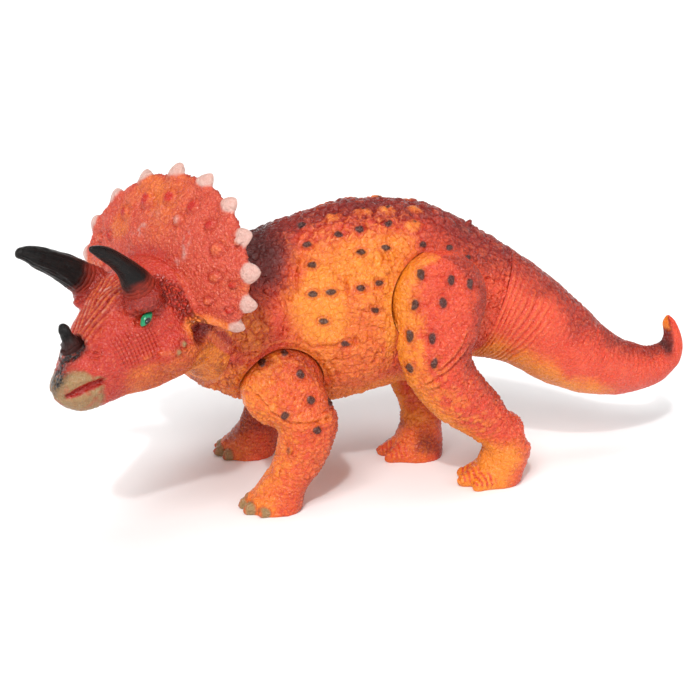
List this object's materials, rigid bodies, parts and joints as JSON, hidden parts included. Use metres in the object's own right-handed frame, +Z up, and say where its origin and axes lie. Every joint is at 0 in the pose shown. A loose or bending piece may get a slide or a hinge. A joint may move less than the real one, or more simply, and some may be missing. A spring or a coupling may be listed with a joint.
{
  "type": "toy horned dinosaur figure",
  "caption": "Soft-vinyl horned dinosaur figure with a studded neck frill, plug-in horns, swinging legs, a head that turns at the neck and a curled tail; it stands on flat soles.",
  "frame": {"origin": "middle of the figure's box in plan, at the floor under its soles", "axes": "+X from head to tail along the trunk, +Y towards the animal's right side, +Z up"},
  "size_m": [0.2562, 0.107, 0.128],
  "materials": {
    "orange_vinyl": "moulded soft vinyl, painted, satin",
    "red_vinyl": "moulded soft vinyl, painted, satin",
    "yellow_vinyl": "moulded soft vinyl, painted, satin",
    "black_horn": "painted black, glossy"
  },
  "bodies": {
    "torso": {"torso_left_shell": "orange_vinyl", "torso_right_shell": "orange_vinyl"},
    "head": {"head": "red_vinyl", "brow_horn_left": "black_horn", "brow_horn_right": "black_horn", "nose_horn": "black_horn"},
    "front_left_leg": {"front_left_leg": "orange_vinyl"},
    "front_right_leg": {"front_right_leg": "orange_vinyl"},
    "hind_left_leg": {"hind_left_leg": "yellow_vinyl"},
    "hind_right_leg": {"hind_right_leg": "yellow_vinyl"},
    "tail": {"tail": "red_vinyl"}
  },
  "joints": [
    {"name": "neck_swivel", "type": "hinge", "parent": "torso", "child": "head", "pos_m": [-0.06897, -0.00249, 0.07099], "axis": [-0.866, -0.5, 0], "range_deg": [-20, 20]},
    {"name": "tail_swivel", "type": "hinge", "parent": "torso", "child": "tail", "pos_m": [0.04403, 0.01451, 0.06658], "axis": [0.9272, 0, -0.3746], "range_deg": [-15, 15]},
    {"name": "front_left_swing", "type": "hinge", "parent": "torso", "child": "front_left_leg", "pos_m": [-0.03797, -0.00699, 0.0465], "axis": [0, 1, 0], "range_deg": [-12, 12]},
    {"name": "front_right_swing", "type": "hinge", "parent": "torso", "child": "front_right_leg", "pos_m": [-0.03797, 0.03601, 0.0465], "axis": [0, 1, 0], "range_deg": [-12, 12]},
    {"name": "hind_left_swing", "type": "hinge", "parent": "torso", "child": "hind_left_leg", "pos_m": [0.02023, -0.00549, 0.0755], "axis": [0, 1, 0], "range_deg": [-12, 12]},
    {"name": "hind_right_swing", "type": "hinge", "parent": "torso", "child": "hind_right_leg", "pos_m": [0.02023, 0.03451, 0.0755], "axis": [0, 1, 0], "range_deg": [-12, 12]}
  ]
}
